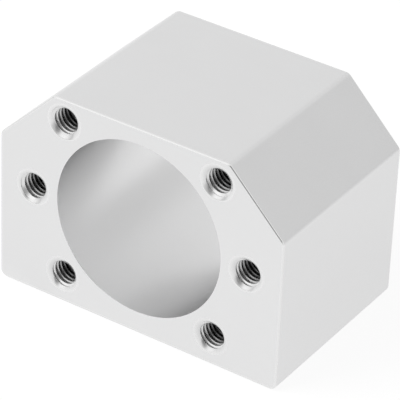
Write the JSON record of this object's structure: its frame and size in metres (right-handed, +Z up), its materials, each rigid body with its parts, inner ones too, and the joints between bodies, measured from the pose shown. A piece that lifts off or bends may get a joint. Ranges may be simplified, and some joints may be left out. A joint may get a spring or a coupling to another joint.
{
  "type": "ball screw nut housing",
  "caption": "Aluminium block with sloping shoulders, bored through for a ball screw nut and tapped round the bore and under the base.",
  "frame": {"origin": "centre of the base face, midway between the flange face and the rear face", "axes": "+X across the block, +Y along the bore from the flange face to the rear face, +Z up from the base"},
  "size_m": [0.062, 0.04, 0.044],
  "materials": {
    "aluminium": "satin"
  },
  "bodies": {
    "root": {"nut_housing": "aluminium"}
  },
  "joints": []
}
